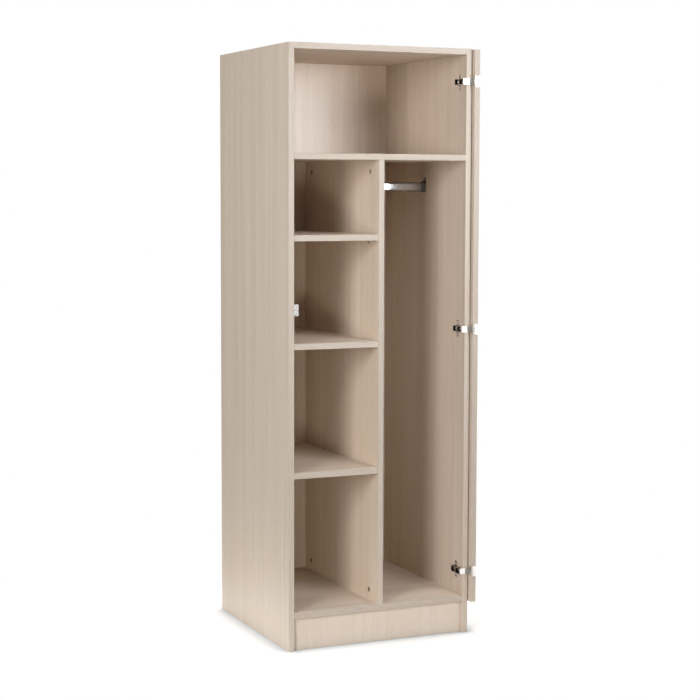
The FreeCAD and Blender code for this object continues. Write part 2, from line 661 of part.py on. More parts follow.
nut_face = step(lock_line, "+y", "door_board")
nut_blank = doc.addObject("Part::Prism", "nut_blank")
nut_blank.Polygon = 6
bind(nut_blank, "Circumradius", "nut_across_corners / 2")
bind(nut_blank, "Height", "nut")
nut_blank.Placement = FreeCAD.Placement(Vector(), TURNS["+y"])
locate(nut_blank, nut_face)
nut_hole = rod("nut_hole", nut_face, "+y", "housing_diameter + 2 * fit_play", "nut")
on_door(cut("lock_nut", nut_blank, [nut_hole]), "lock_nut")

plug_bar = rod("plug_bar", rim_face, "+y", "plug_diameter", f"{plug_length} + fit_play")
key_slot = block("key_slot",
                 (f"{LOCK_X} - key_slot_width / 2", rim_face[1], f"{LOCK_HEIGHT} - key_slot_height / 2"),
                 ("key_slot_width", "key_slot_depth", "key_slot_height"))
screw_bore = rod("screw_bore", step(lock_line, "+y", f"{plug_length} - rosette + fit_play"), "-y",
                 "screw_diameter + 2 * fit_play", "screw_length + fit_play")
on_door(cut("plug", plug_bar, [key_slot, screw_bore]), "lock_plug")

tongue_root = (LOCK_X, TONGUE_FRONT, LOCK_HEIGHT)
round_end = rod("round_end", tongue_root, "+y", "tongue_width", "tongue")
tongue_bar = block("tongue_bar",
                   (f"{LOCK_X} - tongue_width / 2", TONGUE_FRONT, f"{LOCK_HEIGHT} - tongue_length"),
                   ("tongue_width", "tongue", "tongue_length"))
tongue_hole = rod("tongue_hole", tongue_root, "+y", "screw_diameter + 2 * fit_play", "tongue")
on_door(cut("tongue", fuse("tongue_blank", [round_end, tongue_bar]), [tongue_hole]), "lock_cam")
tongue_back = step(tongue_root, "+y", "tongue")
cam_head = rod("cam_head", tongue_back, "+y", "screw_head_diameter", "screw_head_height")
cam_shank = rod("cam_shank", tongue_back, "-y", "screw_diameter", "screw_length + tongue")
on_door(fuse("cam_screw", [cam_head, cam_shank]), "lock_cam_screw")

strike_rear = f"({TONGUE_FRONT} - {PIVOT_FRONT} - strike_gap)"
strike_front = f"({strike_rear} - strike)"
strike_plate = body("strike")
strike_corners = [
    ("0", strike_front), ("strike_reach", strike_front), ("strike_reach", strike_rear),
    ("strike", strike_rear), ("strike", f"{strike_front} + strike_length"),
    ("0", f"{strike_front} + strike_length"),
]
pad(strike_plate, profile(strike_plate, "XY_Plane", strike_corners), "strike_height", midplane=True)
strike_y = f"({strike_rear} + (strike_length - strike) / 2)"
strike_screws = []
for sign in "+-":
    offset = f"{sign}strike_screw_spacing / 2"
    rod("ScrewHole", ("0", strike_y, offset), "+x", "screw_diameter + 2 * fit_play", "strike",
        strike_plate, "PartDesign::SubtractiveCylinder")
    point = ("board + strike", strike_y, f"{LOCK_HEIGHT} {offset}")
    strike_screws.append(screw("side_panel_left", point, "-x", "screw_length + strike"))
strike_plate.Label = "strike_plate"
locate(strike_plate, ("board - origin_from_left", "-origin_from_front", LOCK_HEIGHT))
nodes.append(strike_plate)
on_carcass(group("strike_screws", strike_screws), "strike_screws")

# Boards, each cut from a blank by its grooves and bored holes.
GROOVE_WIDTH = "(back_board + 2 * groove_play)"
INNER_WIDTH = f"({INNER_RIGHT} - board)"
BOARD_DEPTH = "(carcass_depth - band)"
INNER_DEPTH = f"({CLEAR_DEPTH} - band)"

for side, groove_x in (("side_panel_left", "board - groove_depth"), ("side_panel_right", INNER_RIGHT)):
    cutters[side].append(block("groove", (groove_x, CLEAR_DEPTH, "plinth_height"),
                               ("groove_depth", GROOVE_WIDTH, "carcass_height - plinth_height")))
for panel, groove_z in (("top_panel", TOP_UNDER), ("bottom_panel", f"{BOTTOM_TOP} - groove_depth")):
    cutters[panel].append(block("groove", ("board", CLEAR_DEPTH, groove_z),
                                (INNER_WIDTH, GROOVE_WIDTH, "groove_depth")))

blanks = {
    "side_panel_left": (("0", "band", "0"), ("board", BOARD_DEPTH, "carcass_height")),
    "side_panel_right": ((INNER_RIGHT, "band", "0"), ("board", BOARD_DEPTH, "carcass_height")),
    "top_panel": (("board", "band", TOP_UNDER), (INNER_WIDTH, BOARD_DEPTH, "board")),
    "bottom_panel": (("board", "band", "plinth_height"), (INNER_WIDTH, BOARD_DEPTH, "board")),
    "fixed_shelf": (("board", "band", "fixed_shelf_height"), (INNER_WIDTH, INNER_DEPTH, "board")),
    "partition": ((PARTITION_LEFT, "band", BOTTOM_TOP),
                  ("board", INNER_DEPTH, f"fixed_shelf_height - {BOTTOM_TOP}")),
    "plinth_board": (("board", "plinth_setback", "0"), (INNER_WIDTH, "board", "plinth_height")),
}
for label, (corner, size) in blanks.items():
    on_carcass(cut(label, block(f"{label}_blank", corner, size), cutters[label]), label)

door_corner = (f"{DOOR_FREE_EDGE} + band", DOOR_OUTER, f"{DOOR_BOTTOM} + band")
door_size = (f"{DOOR_WIDTH} - 2 * band", "door_board", f"{DOOR_TOP} - {DOOR_BOTTOM} - 2 * band")
on_door(cut("door", block("door_blank", door_corner, door_size), cutters["door_panel"]), "door_panel")


def plain_board(label, corner, size):
    """A board with nothing bored in it."""
    panel = body(label)
    block("Board", corner, size, panel, "PartDesign::AdditiveBox")
    on_carcass(panel, label)


back_x = "board - groove_depth + groove_play"
back_z = f"{BOTTOM_TOP} - groove_depth + groove_play"
plain_board("back_panel", (back_x, BACK_FRONT, back_z),
            (f"{INNER_RIGHT} + groove_depth - groove_play - ({back_x})", "back_board",
             f"{TOP_UNDER} + groove_depth - groove_play - ({back_z})"))
SHELF_WIDTH = f"({PARTITION_LEFT} - board - 2 * shelf_play)"
for level, shelf_height in SHELF_HEIGHTS.items():
    plain_board(f"shelf_{level}", ("board + shelf_play", "shelf_setback + band", shelf_height),
                (SHELF_WIDTH, f"{BACK_FRONT} - shelf_play - shelf_setback - band", "board"))


# Edge bands: a strip with its two long outer edges rounded.
def edge_band(name, corner, size, outward, along):
    """A band whose outer face looks outward and whose length runs along an axis."""
    strip = body(name)
    blank = block("Strip", corner, size, strip, "PartDesign::AdditiveBox")
    doc.recompute()
    side = "xyz".index(outward[1])
    run = "xyz".index(along)
    reach = [vertex.Point[side] for vertex in blank.Shape.Vertexes]
    outer = max(reach) if outward[0] == "+" else min(reach)

    def long_and_outer(edge):
        lengthwise = abs(edge.tangentAt(edge.FirstParameter)[run]) > 0.5
        return lengthwise and abs(edge.CenterOfMass[side] - outer) < 1e-6

    round_edges(strip, blank, "band_round", long_and_outer)
    return strip


UPRIGHT = ("board", "band", "carcass_height")
LYING = (INNER_WIDTH, "band", "board")
front_bands = {
    "band_side_left": (("0", "0", "0"), UPRIGHT, "z"),
    "band_side_right": ((INNER_RIGHT, "0", "0"), UPRIGHT, "z"),
    "band_top": (("board", "0", TOP_UNDER), LYING, "x"),
    "band_bottom": (("board", "0", "plinth_height"), LYING, "x"),
    "band_fixed_shelf": (("board", "0", "fixed_shelf_height"), LYING, "x"),
    "band_partition": ((PARTITION_LEFT, "0", BOTTOM_TOP),
                       ("board", "band", f"fixed_shelf_height - {BOTTOM_TOP}"), "z"),
}
for level, shelf_height in SHELF_HEIGHTS.items():
    shelf_corner = ("board + shelf_play", "shelf_setback", shelf_height)
    front_bands[f"band_shelf_{level}"] = (shelf_corner, (SHELF_WIDTH, "band", "board"), "x")
for label, (corner, size, along) in front_bands.items():
    on_carcass(edge_band(label, corner, size, "-y", along), label)

DOOR_UPRIGHT = ("band", "door_board", f"{DOOR_TOP} - {DOOR_BOTTOM}")
DOOR_LYING = (f"{DOOR_WIDTH} - 2 * band", "door_board", "band")
lock_edge = edge_band("lock_edge", (DOOR_FREE_EDGE, DOOR_OUTER, DOOR_BOTTOM), DOOR_UPRIGHT, "-x", "z")
on_door(lock_edge, "band_door_lock_edge")
hinge_edge = edge_band("hinge_edge", (f"{DOOR_EDGE} - band", DOOR_OUTER, DOOR_BOTTOM),
                       DOOR_UPRIGHT, "+x", "z")
on_door(cut("hinge_edge_band", hinge_edge, edge_seats), "band_door_hinge_edge")
top_edge = edge_band("top_edge", (f"{DOOR_FREE_EDGE} + band", DOOR_OUTER, f"{DOOR_TOP} - band"),
                     DOOR_LYING, "+z", "x")
on_door(top_edge, "band_door_top")
bottom_edge = edge_band("bottom_edge", (f"{DOOR_FREE_EDGE} + band", DOOR_OUTER, DOOR_BOTTOM),
                        DOOR_LYING, "-z", "x")
on_door(bottom_edge, "band_door_bottom")

doc.recompute()
for item in doc.Objects:
    if "Invalid" in item.State or "Error" in item.State:
        raise RuntimeError(f"{item.Label} failed: {item.State}")
for node in nodes:
    if node.Shape.isNull() or not node.Shape.isValid():
        raise RuntimeError(f"{node.Label} has no valid shape")

os.makedirs("parts", exist_ok=True)
for node in nodes:
    node.Shape.exportStep(f"parts/{node.Label}.step")
print(f"{len(nodes)} nodes, {sum(len(node.Shape.Solids) for node in nodes)} solids")
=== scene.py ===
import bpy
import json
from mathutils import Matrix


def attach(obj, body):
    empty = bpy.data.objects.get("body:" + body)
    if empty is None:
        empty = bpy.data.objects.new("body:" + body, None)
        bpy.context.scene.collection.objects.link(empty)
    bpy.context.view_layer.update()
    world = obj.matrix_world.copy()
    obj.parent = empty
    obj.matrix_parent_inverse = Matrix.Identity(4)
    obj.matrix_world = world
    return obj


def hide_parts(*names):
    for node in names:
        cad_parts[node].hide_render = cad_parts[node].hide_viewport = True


bl_info = {
    "name": "Single-door wardrobe",
    "version": (1, 0, 0),
    "blender": (4, 5, 0),
    "location": "View3D > Sidebar > Wardrobe",
    "description": "Finishes of a single-door wardrobe of wood-decor board, with its fittings and stage",
    "category": "Object",
}

import json
import math

import bmesh
import bpy
from mathutils import Matrix, Vector

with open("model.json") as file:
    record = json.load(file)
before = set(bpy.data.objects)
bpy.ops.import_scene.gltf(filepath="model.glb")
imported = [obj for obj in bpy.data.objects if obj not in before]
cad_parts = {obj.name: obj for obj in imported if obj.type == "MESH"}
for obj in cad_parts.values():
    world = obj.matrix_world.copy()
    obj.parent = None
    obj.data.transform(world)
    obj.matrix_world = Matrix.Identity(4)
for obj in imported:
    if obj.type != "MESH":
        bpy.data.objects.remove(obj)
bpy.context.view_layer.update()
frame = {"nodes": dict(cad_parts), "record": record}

MM = 0.001
# Hinges and loose shelves are named for their height.
LEVELS = ("upper", "middle", "lower")
# Points nearer than TOUCH lie on one plane, and points nearer than WELD are one point.
TOUCH = 0.01 * MM
WELD = 0.001 * MM

# Sizes in the decor, across and along the grain. Real pores are 0.2 mm wide, and are drawn wider to show.
WAVER = (90 * MM, 420 * MM)
WAVER_REACH = 16 * MM
BAND_LENGTH = 1400 * MM
LINE_LENGTH = 550 * MM
PORE = (1.4 * MM, 26 * MM)
CHIP = 3.2 * MM
# How far each board's piece of decor may lie from the next board's, in metres.
DECOR_SHIFT = (3.1, 4.7, 5.9)
# The bottom panel's band is a little deeper in tone than the other bands.
BOTTOM_BAND = 0.9

# Round pieces: sides, rings across the crowned face, the slope of a cross recess's flanks, and the arm,
# half-width and depth of each cross recess.
SIDES = 40
CROWN_RINGS = 9
FLANK = 0.35
SCREW_HEAD = 2.2 * MM
SCREW_CROWN = 0.5 * MM
SCREW_CROSS = (2.3 * MM, 0.75 * MM, 1.1 * MM)
CAM_CROWN = 0.2 * MM
CAM_CROSS = (4.6 * MM, 1.3 * MM, 2.2 * MM)
# A screw is slender when it is longer than this many widths of its head.
SLENDER = 1.3

# Where the painted shade in the recesses of a hinge's arm begins, in metres: towards the side panel in X,
# behind the strap in Y.
RECESS_X = (0.2555, 0.258)
RECESS_Y = (-0.276, -0.274)

# The floor's radius, the distances over which it thins out, and the reach of the shade under the wardrobe.
FLOOR_RADIUS = 2.2
FLOOR_FADE = (0.45, 1.05)
CONTACT_REACH = 60 * MM

# Tints of the lights.
WHITE = (1.0, 1.0, 1.0)
COOL = (0.95, 1.0, 1.07)
FAINT_COOL = (0.96, 1.0, 1.06)
FAINT_WARM = (1.0, 0.95, 0.88)
WARM = (1.0, 0.92, 0.81)
TOP_LIGHT_ANGLE = 14
# The camera's tone curve: deep shades, and mild highlights.
TONE_CURVE = ((0.05, 0.036), (0.1, 0.088), (0.2, 0.19), (0.35, 0.35), (0.5, 0.515), (0.7, 0.72))

# The photograph's view, fitted to the carcass's edges: place in metres, heading, tilt and roll in degrees,
# the shift of its square frame in pixels, and the sensor's width in millimetres.
CAMERA_PLACE = (-2.2220, -4.9941, 1.3782)
CAMERA_ANGLES = (24.278, -4.863, 0.166)
FRAME_PIXELS = 700
FRAME_SHIFT = (-7.4, -14)
SENSOR = 36


def linear(colour):
    """sRGB hex to linear red, green and blue."""
    parts = [int(colour[start:start + 2], 16) / 255 for start in (1, 3, 5)]
    return tuple(c / 12.92 if c <= 0.04045 else ((c + 0.055) / 1.055) ** 2.4 for c in parts)


def opaque(colour, depth=1.0):
    """A linear colour with alpha, darkened by a depth."""
    return (*[part * depth for part in colour], 1)


def add(tree, kind, inputs=None, stops=(), **options):
    """Add a node with its settings, link or set its inputs, and set the stops of a colour ramp."""
    item = tree.nodes.new(kind)
    for name, value in options.items():
        setattr(item, name, value)
    for key, value in (inputs or {}).items():
        if isinstance(value, bpy.types.NodeSocket):
            tree.links.new(value, item.inputs[key])
        else:
            item.inputs[key].default_value = value
    if stops:
        elements = item.color_ramp.elements
        while len(elements) < len(stops):
            elements.new(0.5)
        for element, (position, colour) in zip(elements, stops):
            element.position = position
            element.color = colour
    return item


def start_material(name):
    """A new material with its shader, and the object's own coordinates in metres."""
    material = bpy.data.materials.new(name)
    material.use_nodes = True
    tree = material.node_tree
    shader = tree.nodes["Principled BSDF"]
    place = add(tree, "ShaderNodeTexCoord").outputs["Object"]
    return material, tree, shader, place


def grain_scale(grain, across, along):
    """Scale that makes a pattern one unit wide across the grain and one unit long along it."""
    scale = [1 / across] * 3
    scale["xyz".index(grain)] = 1 / along
    return scale


def paint(nodes, material):
    """Give CAD nodes one material."""
    for name in nodes:
        item = frame["nodes"][name]
        item.data.materials.clear()
        item.data.materials.append(material)


class BoardFinish(bpy.types.PropertyGroup):
    """Decor of the boards and their edge bands."""

    light: bpy.props.FloatVectorProperty(
        name="Light grain", description="Decor between the growth lines", subtype="COLOR",
        default=linear("#d8cabc"), min=0, max=1)
    middle: bpy.props.FloatVectorProperty(
        name="Middle grain", description="Decor's usual tone", subtype="COLOR",
        default=linear("#d0c1b2"), min=0, max=1)
    dark: bpy.props.FloatVectorProperty(
        name="Dark grain", description="Decor on the growth lines", subtype="COLOR",
        default=linear("#c7b8a8"), min=0, max=1)
    pore: bpy.props.FloatVectorProperty(
        name="Pores", description="Printed pores", subtype="COLOR",
        default=linear("#ad9e8d"), min=0, max=1)
    edging: bpy.props.FloatProperty(
        name="Edging depth", description="How light the edge bands are beside the boards", subtype="FACTOR",
        default=0.85, min=0, max=1)
    plank: bpy.props.FloatProperty(
        name="Broad bands", description="Width of the decor's broad bands", unit="LENGTH", default=34 * MM)
    line: bpy.props.FloatProperty(
        name="Growth lines", description="Spacing of the growth lines", unit="LENGTH", default=5.5 * MM)
    roughness: bpy.props.FloatProperty(
        name="Roughness", description="Matt resin surface", subtype="FACTOR", default=0.4, min=0, max=1)


class MetalFinish(bpy.types.PropertyGroup):
    """Platings of the fittings."""

    chrome: bpy.props.FloatVectorProperty(
        name="Chrome", description="Hanging rail", subtype="COLOR", default=linear("#b9bdc1"), min=0, max=1)
    socket: bpy.props.FloatVectorProperty(
        name="Socket", description="Cast sockets of the rail", subtype="COLOR",
        default=linear("#93989d"), min=0, max=1)
    nickel: bpy.props.FloatVectorProperty(
        name="Nickel", description="Hinges and lock", subtype="COLOR",
        default=linear("#e2dfda"), min=0, max=1)
    zinc: bpy.props.FloatVectorProperty(
        name="Zinc", description="Screws", subtype="COLOR", default=linear("#c9cacb"), min=0, max=1)
    # The cams and their bolts are drawn a dull brown, darker than the screws.
    cast: bpy.props.FloatVectorProperty(
        name="Cast zinc", description="Cams and their bolts, dark as cast", subtype="COLOR",
        default=linear("#a08f7b"), min=0, max=1)


class StageSettings(bpy.types.PropertyGroup):
    """Floor, light and camera."""

    floor: bpy.props.FloatVectorProperty(
        name="Floor", description="Pale studio floor", subtype="COLOR",
        default=linear("#f6f5f4"), min=0, max=1)
    sky: bpy.props.FloatProperty(
        name="Surround", description="Light from the even white surround", default=0.08, min=0)
    mirrored_sky: bpy.props.FloatProperty(
        name="Mirrored surround", description="How bright the surround is in reflections",
        default=0.45, min=0)
    top: bpy.props.FloatProperty(
        name="Top light", description="Strength of the soft light from above", default=1.6, min=0)
    side: bpy.props.FloatProperty(
        name="Side light", description="Power of the tall light on the left", unit="POWER",
        default=116.0, min=0)
    key: bpy.props.FloatProperty(
        name="Key light", description="Power of the soft light at the front right", unit="POWER",
        default=9.0, min=0)
    fill: bpy.props.FloatProperty(
        name="Fill light", description="Power of the soft light above the camera", unit="POWER",
        default=29.0, min=0)
    back: bpy.props.FloatProperty(
        name="Back light", description="Power of the light on the upper back", unit="POWER",
        default=15.5, min=0)
    strip: bpy.props.FloatProperty(
        name="Right strip", description="Power of the tall strip at the front right", unit="POWER",
        default=10.5, min=0)
    rear: bpy.props.FloatProperty(
        name="Rear cards", description="Power of the cards on the right and behind", unit="POWER",
        default=36.0, min=0)
    left: bpy.props.FloatProperty(
        name="Left card", description="Power of the card beside the left panel", unit="POWER",
        default=20.0, min=0)
    low_wide: bpy.props.FloatProperty(
        name="Low wide card", description="Power of the warm card near the floor", unit="POWER",
        default=18.0, min=0)
    low_left: bpy.props.FloatProperty(
        name="Low left card", description="Power of the warm card near the floor, further left", unit="POWER",
        default=26.0, min=0)
    floor_card: bpy.props.FloatProperty(
        name="Floor card", description="Power of the card that lies before the door", unit="POWER",
        default=4.5, min=0)
    lens: bpy.props.FloatProperty(
        name="Lens", description="Focal length on a 36 mm sensor", default=89.42, unit="CAMERA")


def decor_board(name, grain, bare=None, depth=1.0, dull=0.0, figure=1.0):
    """Chipboard faced with printed decor paper under matt melamine resin, pressed with a fine pore.

    The eye sees soft bands some centimetres wide, thin growth lines that waver a little, short dark pores,
    and a dull sheen. Where bare names a direction, the edges that face it are cut chipboard. Depth darkens
    the decor, dull adds roughness, and figure strengthens the bands.
    """
    finish = bpy.context.scene.wardrobe_board
    material, tree, shader, place = start_material(name)
    # Each board is cut from another part of the decor.
    chance = add(tree, "ShaderNodeObjectInfo").outputs["Random"]
    shift = add(tree, "ShaderNodeVectorMath", {0: chance, 1: DECOR_SHIFT}, operation="MULTIPLY")
    place = add(tree, "ShaderNodeVectorMath", {0: place, 1: shift.outputs["Vector"]}).outputs["Vector"]
    # Growth lines waver by some millimetres over a forearm's length.
    slow = add(tree, "ShaderNodeMapping", {"Vector": place, "Scale": grain_scale(grain, *WAVER)})
    slow = add(tree, "ShaderNodeTexNoise", {"Vector": slow.outputs["Vector"], "Scale": 1.0, "Detail": 1.0})
    sway = add(tree, "ShaderNodeVectorMath", {0: slow.outputs["Color"], 1: (0.5, 0.5, 0.5)},
               operation="SUBTRACT")
    sway = add(tree, "ShaderNodeVectorMath", {0: sway.outputs["Vector"], "Scale": WAVER_REACH},
               operation="SCALE")
    place = add(tree, "ShaderNodeVectorMath", {0: place, 1: sway.outputs["Vector"]}).outputs["Vector"]
    broad = add(tree, "ShaderNodeMapping",
                {"Vector": place, "Scale": grain_scale(grain, finish.plank, BAND_LENGTH)})
    broad = add(tree, "ShaderNodeTexNoise",
                {"Vector": broad.outputs["Vector"], "Scale": 1.0, "Detail": 2.0, "Roughness": 0.55})
    line = add(tree, "ShaderNodeMapping",
               {"Vector": place, "Scale": grain_scale(grain, finish.line, LINE_LENGTH)})
    line = add(tree, "ShaderNodeTexNoise",
               {"Vector": line.outputs["Vector"], "Scale": 1.0, "Detail": 3.0, "Roughness": 0.62})
    both = add(tree, "ShaderNodeMix",
               {"Factor": 0.5, "A": broad.outputs["Fac"], "B": line.outputs["Fac"]}, data_type="FLOAT")
    half = 0.2 / figure
    tone = add(tree, "ShaderNodeValToRGB", {"Fac": both.outputs["Result"]},
               stops=((0.5 - half, opaque(finish.dark, depth)), (0.5, opaque(finish.middle, depth)),
                      (0.5 + half, opaque(finish.light, depth))))
    pore = add(tree, "ShaderNodeMapping", {"Vector": place, "Scale": grain_scale(grain, *PORE)})
    pore = add(tree, "ShaderNodeTexNoise", {"Vector": pore.outputs["Vector"], "Scale": 1.0, "Detail": 1.0})
    mark = add(tree, "ShaderNodeMapRange",
               {"Value": pore.outputs["Fac"], "From Min": 0.6, "From Max": 0.74, "To Min": 0.0,
                "To Max": 0.4})
    colour = add(tree, "ShaderNodeMix",
                 {"Factor": mark.outputs["Result"], "A": tone.outputs["Color"],
                  "B": opaque(finish.pore, depth)}, data_type="RGBA")
    relief = add(tree, "ShaderNodeMath", {0: line.outputs["Fac"], 1: mark.outputs["Result"]},
                 operation="SUBTRACT")
    dullness = finish.roughness + dull
    sheen = add(tree, "ShaderNodeMapRange",
                {"Value": line.outputs["Fac"], "From Min": 0.3, "From Max": 0.7, "To Min": dullness - 0.05,
                 "To Max": dullness + 0.05})
    if bare:
        flake = add(tree, "ShaderNodeTexVoronoi", {"Vector": place, "Scale": 1 / CHIP})
        core = add(tree, "ShaderNodeValToRGB", {"Fac": flake.outputs["Distance"]},
                   stops=((0.0, opaque(linear("#b99f7c"))), (0.45, opaque(linear("#a88b66"))),
                          (0.8, opaque(linear("#836746")))))
        facing = add(tree, "ShaderNodeTexCoord").outputs["Normal"]
        facing = add(tree, "ShaderNodeVectorMath", {0: facing, 1: bare}, operation="DOT_PRODUCT")
        cut_edge = add(tree, "ShaderNodeMath", {0: facing.outputs["Value"], 1: 0.9}, operation="GREATER_THAN")
        colour = add(tree, "ShaderNodeMix",
                     {"Factor": cut_edge.outputs["Value"], "A": colour.outputs["Result"],
                      "B": core.outputs["Color"]}, data_type="RGBA")
    bump = add(tree, "ShaderNodeBump",
               {"Height": relief.outputs["Value"], "Strength": 0.12, "Distance": 0.2 * MM})
    tree.links.new(colour.outputs["Result"], shader.inputs["Base Color"])
    tree.links.new(sheen.outputs["Result"], shader.inputs["Roughness"])
    tree.links.new(bump.outputs["Normal"], shader.inputs["Normal"])
    shader.inputs["IOR"].default_value = 1.5
    shader.inputs["Specular IOR Level"].default_value = 0.33
    return material


def plated_metal(name, colour, roughness, grit, swirl):
    """Plated metal: a clear mirror on polished chrome, a softer one on barrel-plated nickel and zinc.

    Grit is the size of the dull specks in metres, and swirl how far they change the polish.
    """
    material, tree, shader, place = start_material(name)
    speck = add(tree, "ShaderNodeTexNoise", {"Vector": place, "Scale": 1 / grit, "Detail": 3.0})
    speck = speck.outputs["Fac"]
    tone = add(tree, "ShaderNodeMix", {"Factor": speck, "A": opaque(colour, 0.9), "B": opaque(colour)},
               data_type="RGBA")
    polish = add(tree, "ShaderNodeMapRange",
                 {"Value": speck, "From Min": 0.3, "From Max": 0.7, "To Min": max(roughness - swirl, 0.02),
                  "To Max": roughness + swirl})
    tree.links.new(tone.outputs["Result"], shader.inputs["Base Color"])
    tree.links.new(polish.outputs["Result"], shader.inputs["Roughness"])
    shader.inputs["Metallic"].default_value = 1.0
    return material


def cast_arm(name, colour):
    """Nickel-plated casting whose two recesses are rough and painted dark as shade, while its rim and strap
    are polished.
    """
    material, tree, shader, place = start_material(name)
    part = add(tree, "ShaderNodeSeparateXYZ", {"Vector": place}).outputs
    deep = add(tree, "ShaderNodeMapRange",
               {"Value": part["X"], "From Min": RECESS_X[0], "From Max": RECESS_X[1]})
    behind = add(tree, "ShaderNodeMapRange",
                 {"Value": part["Y"], "From Min": RECESS_Y[0], "From Max": RECESS_Y[1]})
    painted_recess_shade = add(tree, "ShaderNodeMath", {0: deep.outputs["Result"], 1: behind.outputs["Result"]},
                 operation="MULTIPLY").outputs["Value"]
    grit = add(tree, "ShaderNodeTexNoise", {"Vector": place, "Scale": 1 / (1.0 * MM), "Detail": 3.0})
    bright = add(tree, "ShaderNodeMix",
                 {"Factor": grit.outputs["Fac"], "A": opaque(colour, 0.8), "B": opaque(colour)},
                 data_type="RGBA")
    # The recesses are painted near-black: painted shade in the hollows of the casting.
    tone = add(tree, "ShaderNodeMix",
               {"Factor": painted_recess_shade, "A": bright.outputs["Result"], "B": opaque(linear("#2b2c2e"))},
               data_type="RGBA")
    polish = add(tree, "ShaderNodeMapRange", {"Value": painted_recess_shade, "To Min": 0.16, "To Max": 0.5})
    tree.links.new(tone.outputs["Result"], shader.inputs["Base Color"])
    tree.links.new(polish.outputs["Result"], shader.inputs["Roughness"])
    shader.inputs["Metallic"].default_value = 1.0
    return material


def turned_beech(name):
    """Beech turned to dowels and fluted: warm, with short brown flecks along the grain."""
    material, tree, shader, place = start_material(name)
    fleck = add(tree, "ShaderNodeMapping", {"Vector": place, "Scale": grain_scale("x", 1.2 * MM, 7 * MM)})
    fleck = add(tree, "ShaderNodeTexNoise", {"Vector": fleck.outputs["Vector"], "Scale": 1.0, "Detail": 2.0})
    colour = add(tree, "ShaderNodeValToRGB", {"Fac": fleck.outputs["Fac"]},
                 stops=((0.35, opaque(linear("#c59b6d"))), (0.55, opaque(linear("#d8b487"))),
                        (0.75, opaque(linear("#dfbf95")))))
    tree.links.new(colour.outputs["Color"], shader.inputs["Base Color"])
    shader.inputs["Roughness"].default_value = 0.6
    return material


def studio_floor(name, colour):
    """Painted studio floor: pale and dull, with a faint unevenness of the roller."""
    material, tree, shader, place = start_material(name)
    cloud = add(tree, "ShaderNodeTexNoise", {"Vector": place, "Scale": 1 / (400 * MM), "Detail": 2.0})
    tone = add(tree, "ShaderNodeMix",
               {"Factor": cloud.outputs["Fac"], "A": opaque(colour, 0.985), "B": opaque(colour)},
               data_type="RGBA")
    # The floor is in a bluish shade where the wardrobe stands close over it.
    free = add(tree, "ShaderNodeAmbientOcclusion", {"Distance": CONTACT_REACH}, samples=16)
    shaded = add(tree, "ShaderNodeMix",
                 {"Factor": free.outputs["AO"], "A": opaque(linear("#3f6176")), "B": tone.outputs["Result"]},
                 data_type="RGBA").outputs["Result"]
    tree.links.new(shaded, shader.inputs["Base Color"])
    tree.links.new(shaded, shader.inputs["Emission Color"])
    shader.inputs["Emission Strength"].default_value = 0.25
    shader.inputs["Roughness"].default_value = 0.8
    # The floor thins out into the white surround before its rim.
    reach = add(tree, "ShaderNodeVectorMath", {0: place}, operation="LENGTH").outputs["Value"]
    kept = add(tree, "ShaderNodeMapRange",
               {"Value": reach, "From Min": FLOOR_FADE[0], "From Max": FLOOR_FADE[1], "To Min": 1.0,
                "To Max": 0.0}, interpolation_type="SMOOTHSTEP")
    tree.links.new(kept.outputs["Result"], shader.inputs["Alpha"])
    return material


def islands(node):
    """The separate solids of a CAD node, each as its lowest corner, highest corner and points."""
    mesh = bmesh.new()
    mesh.from_mesh(frame["nodes"][node].data)
    bmesh.ops.remove_doubles(mesh, verts=mesh.verts, dist=WELD)
    left = set(mesh.verts)
    found = []
    while left:
        batch = [left.pop()]
        points = []
        while batch:
            vert = batch.pop()
            points.append(vert.co.copy())
            for edge in vert.link_edges:
                other = edge.other_vert(vert)
                if other in left:
                    left.remove(other)
                    batch.append(other)
        low = Vector([min(p[i] for p in points) for i in range(3)])
        high = Vector([max(p[i] for p in points) for i in range(3)])
        found.append((low, high, points))
    mesh.free()
    return sorted(found, key=lambda part: tuple(part[0]))


def end_points(points, axis, level):
    """The points of a solid that lie at one level of an axis."""
    return [p for p in points if abs(p[axis] - level) < TOUCH]


def end_radius(points, axis, level, centre):
    """How far a round solid reaches from its axis at one of its ends."""
    others = [i for i in range(3) if i != axis]
    return max(math.hypot(*[p[i] - centre[i] for i in others]) for p in end_points(points, axis, level))


def foot_frame(low, high, axis, upward):
    """A frame on the foot of a round solid whose Z runs to its face, and the solid's length."""
    length = (high - low)[axis]
    direction = Vector((0, 0, 0))
    direction[axis] = 1 if upward else -1
    foot = (low + high) / 2 - direction * length / 2
    return Matrix.Translation(foot) @ direction.to_track_quat("Z", "Y").to_matrix().to_4x4(), length


def cross_arm(along, beside, arm, width):
    """How deep one bar of a cross recess is at a point: 1 in the bar, sloping to 0 at its flanks."""
    if abs(along) > arm:
        return 0.0
    return max(0.0, min(1.0, (width - abs(beside)) / (FLANK * width) + FLANK))


